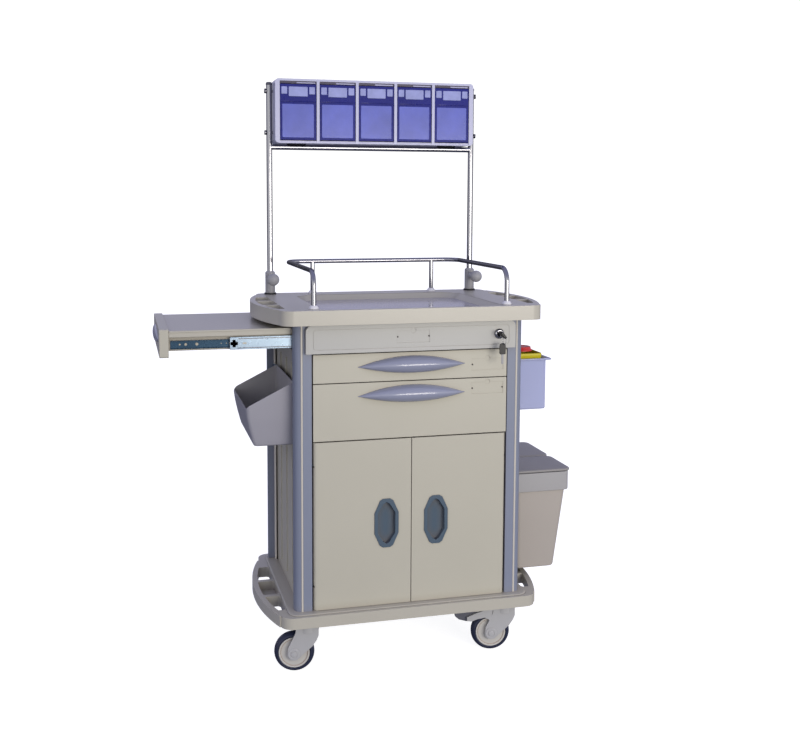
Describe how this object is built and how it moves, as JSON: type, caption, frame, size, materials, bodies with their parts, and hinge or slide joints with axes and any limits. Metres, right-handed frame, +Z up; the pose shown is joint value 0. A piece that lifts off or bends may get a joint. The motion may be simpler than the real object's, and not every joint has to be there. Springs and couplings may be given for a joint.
{
  "type": "anaesthesia trolley",
  "caption": "Mobile medical trolley with drawers, a double-door cupboard, a pull-out side shelf, side bins and an overhead rack of tilt bins.",
  "frame": {"origin": "middle of the overall box, on the floor", "axes": "+X to the trolley's right as seen from the front, +Y towards its back, +Z up"},
  "size_m": [1.094, 0.492, 1.491],
  "materials": {
    "cream_abs": "smooth moulded ABS",
    "grey_abs": "smooth moulded ABS",
    "slate_columns": "satin coat on aluminium extrusion",
    "worktop": "clear glossy mat",
    "steel_tube": "polished tube",
    "slide_steel": "zinc plated",
    "slate_handles": "glossy",
    "door_cups": "matt",
    "lock_metal": "plated",
    "key_black": "matt",
    "utility_grey": "satin",
    "waste_beige": "satin",
    "waste_lids": "satin",
    "sharps_frame": "powder coat",
    "sharps_yellow": "smooth",
    "sharps_red": "smooth",
    "housing": "smooth",
    "bin_blue": "translucent",
    "caster_grey": "smooth",
    "wheel_rubber": "satin tread on a moulded hub",
    "pedal_grey": "matt"
  },
  "bodies": {
    "cabinet": {"base_tray": "cream_abs", "corner_columns": "slate_columns", "side_panels": "cream_abs", "back_panel": "cream_abs", "cabinet_decks": "grey_abs", "inner_shelf": "grey_abs", "top_tray": "cream_abs", "worktop_mat": "worktop", "fascia": "grey_abs", "guard_rail": "steel_tube", "post_clamps": "grey_abs", "slide_cases": "slide_steel", "lock_housing": "lock_metal", "door_hinges": "slide_steel", "utility_bin": "utility_grey", "side_brackets": "slide_steel", "waste_bins": "waste_beige", "sharps_holder": "sharps_frame", "caster_stems": "slide_steel"},
    "shallow_drawer": {"shallow_drawer_box": "grey_abs", "shallow_drawer_front": "cream_abs", "shallow_drawer_handle": "slate_handles"},
    "deep_drawer": {"deep_drawer_box": "grey_abs", "deep_drawer_front": "cream_abs", "deep_drawer_handle": "slate_handles"},
    "side_shelf": {"shelf_board": "cream_abs", "shelf_end_cap": "cream_abs", "shelf_grip": "slate_handles", "shelf_runners": "slide_steel"},
    "middle_slides": {"shelf_middle_slides": "slide_steel"},
    "left_door": {"door_left": "cream_abs", "door_left_handle": "door_cups"},
    "right_door": {"door_right": "cream_abs", "door_right_handle": "door_cups"},
    "lock": {"lock_plug": "lock_metal", "front_key": "key_black"},
    "rack": {"rack_frame": "steel_tube", "bin_housing": "housing"},
    "bin_1": {"tilt_bin_1": "bin_blue"},
    "bin_2": {"tilt_bin_2": "bin_blue"},
    "bin_3": {"tilt_bin_3": "bin_blue"},
    "bin_4": {"tilt_bin_4": "bin_blue"},
    "bin_5": {"tilt_bin_5": "bin_blue"},
    "knob_left": {"knob_left": "grey_abs"},
    "knob_right": {"knob_right": "grey_abs"},
    "waste_lid_front": {"waste_lid_front": "waste_lids"},
    "waste_lid_rear": {"waste_lid_rear": "waste_lids"},
    "sharps_container": {"sharps_container": "sharps_yellow"},
    "sharps_lid": {"sharps_lid": "sharps_red"},
    "fork_front_left": {"fork_front_left": "caster_grey"},
    "fork_front_right": {"fork_front_right": "caster_grey"},
    "fork_rear_left": {"fork_rear_left": "caster_grey"},
    "fork_rear_right": {"fork_rear_right": "caster_grey"},
    "wheel_front_left": {"wheel_front_left": "wheel_rubber"},
    "wheel_front_right": {"wheel_front_right": "wheel_rubber"},
    "wheel_rear_left": {"wheel_rear_left": "wheel_rubber"},
    "wheel_rear_right": {"wheel_rear_right": "wheel_rubber"},
    "pedal_front_right": {"pedal_front_right": "pedal_grey"},
    "pedal_rear_left": {"pedal_rear_left": "pedal_grey"}
  },
  "joints": [
    {"name": "shallow_drawer_slide", "type": "slide", "parent": "cabinet", "child": "shallow_drawer", "axis": [0, -1, 0], "range_m": [0, 0.28]},
    {"name": "deep_drawer_slide", "type": "slide", "parent": "cabinet", "child": "deep_drawer", "axis": [0, -1, 0], "range_m": [0, 0.28]},
    {"name": "side_shelf_slide", "type": "slide", "parent": "cabinet", "child": "side_shelf", "axis": [1, 0, 0], "range_m": [0, 0.281]},
    {"name": "middle_slide", "type": "slide", "parent": "cabinet", "child": "middle_slides", "axis": [1, 0, 0], "range_m": [0, 0.1405]},
    {"name": "left_door_hinge", "type": "hinge", "parent": "cabinet", "child": "left_door", "pos_m": [-0.169, -0.193, 0.37], "axis": [0, 0, -1], "range_deg": [0, 105]},
    {"name": "right_door_hinge", "type": "hinge", "parent": "cabinet", "child": "right_door", "pos_m": [0.309, -0.193, 0.37], "axis": [0, 0, 1], "range_deg": [0, 105]},
    {"name": "lock_turn", "type": "hinge", "parent": "cabinet", "child": "lock", "pos_m": [0.293, -0.202, 0.834], "axis": [0, -1, 0], "range_deg": [0, 90]},
    {"name": "rack_height", "type": "slide", "parent": "cabinet", "child": "rack", "axis": [0, 0, 1], "range_m": [-0.2, 0.15]},
    {"name": "bin_1_tilt", "type": "hinge", "parent": "rack", "child": "bin_1", "pos_m": [-0.148, 0.165, 1.333], "axis": [1, 0, 0], "range_deg": [0, 45]},
    {"name": "bin_2_tilt", "type": "hinge", "parent": "rack", "child": "bin_2", "pos_m": [-0.039, 0.165, 1.333], "axis": [1, 0, 0], "range_deg": [0, 45]},
    {"name": "bin_3_tilt", "type": "hinge", "parent": "rack", "child": "bin_3", "pos_m": [0.07, 0.165, 1.333], "axis": [1, 0, 0], "range_deg": [0, 45]},
    {"name": "bin_4_tilt", "type": "hinge", "parent": "rack", "child": "bin_4", "pos_m": [0.179, 0.165, 1.333], "axis": [1, 0, 0], "range_deg": [0, 45]},
    {"name": "bin_5_tilt", "type": "hinge", "parent": "rack", "child": "bin_5", "pos_m": [0.288, 0.165, 1.333], "axis": [1, 0, 0], "range_deg": [0, 45]},
    {"name": "knob_left_turn", "type": "hinge", "parent": "cabinet", "child": "knob_left", "pos_m": [-0.221, 0.146, 0.95], "axis": [0, 1, 0], "range_deg": [0, 360]},
    {"name": "knob_right_turn", "type": "hinge", "parent": "cabinet", "child": "knob_right", "pos_m": [0.361, 0.146, 0.95], "axis": [0, 1, 0], "range_deg": [0, 360]},
    {"name": "waste_lid_front_hinge", "type": "hinge", "parent": "cabinet", "child": "waste_lid_front", "pos_m": [0.387, -0.037, 0.442], "axis": [0, -1, 0], "range_deg": [0, 90]},
    {"name": "waste_lid_rear_hinge", "type": "hinge", "parent": "cabinet", "child": "waste_lid_rear", "pos_m": [0.387, 0.12, 0.442], "axis": [0, -1, 0], "range_deg": [0, 90]},
    {"name": "sharps_container_lift", "type": "slide", "parent": "cabinet", "child": "sharps_container", "axis": [0, 0, 1], "range_m": [0, 0.09]},
    {"name": "sharps_lid_hinge", "type": "hinge", "parent": "sharps_container", "child": "sharps_lid", "pos_m": [0.457, -0.032, 0.7605], "axis": [0, 1, 0], "range_deg": [0, 90]},
    {"name": "swivel_front_left", "type": "hinge", "parent": "cabinet", "child": "fork_front_left", "pos_m": [-0.188, -0.176, 0.115], "axis": [0, 0, 1], "continuous": true},
    {"name": "roll_front_left", "type": "hinge", "parent": "fork_front_left", "child": "wheel_front_left", "pos_m": [-0.22126, -0.16893, 0.05], "axis": [0.2079, 0.9781, 0], "continuous": true},
    {"name": "swivel_front_right", "type": "hinge", "parent": "cabinet", "child": "fork_front_right", "pos_m": [0.328, -0.176, 0.115], "axis": [0, 0, 1], "continuous": true},
    {"name": "roll_front_right", "type": "hinge", "parent": "fork_front_right", "child": "wheel_front_right", "pos_m": [0.29474, -0.16893, 0.05], "axis": [0.2079, 0.9781, 0], "continuous": true},
    {"name": "swivel_rear_left", "type": "hinge", "parent": "cabinet", "child": "fork_rear_left", "pos_m": [-0.188, 0.186, 0.115], "axis": [0, 0, 1], "continuous": true},
    {"name": "roll_rear_left", "type": "hinge", "parent": "fork_rear_left", "child": "wheel_rear_left", "pos_m": [-0.15474, 0.17893, 0.05], "axis": [-0.2079, -0.9781, 0], "continuous": true},
    {"name": "swivel_rear_right", "type": "hinge", "parent": "cabinet", "child": "fork_rear_right", "pos_m": [0.328, 0.186, 0.115], "axis": [0, 0, 1], "continuous": true},
    {"name": "roll_rear_right", "type": "hinge", "parent": "fork_rear_right", "child": "wheel_rear_right", "pos_m": [0.29474, 0.19307, 0.05], "axis": [0.2079, 0.9781, 0], "continuous": true},
    {"name": "brake_front_right", "type": "hinge", "parent": "fork_front_right", "child": "pedal_front_right", "pos_m": [0.24192, -0.1577, 0.088], "axis": [-0.2079, -0.9781, 0], "range_deg": [0, 15]},
    {"name": "brake_rear_left", "type": "hinge", "parent": "fork_rear_left", "child": "pedal_rear_left", "pos_m": [-0.10192, 0.1677, 0.088], "axis": [0.2079, 0.9781, 0], "range_deg": [0, 15]}
  ],
  "couplings": [
    {"joint": "middle_slide", "follows": "side_shelf_slide", "ratio": 0.5}
  ]
}
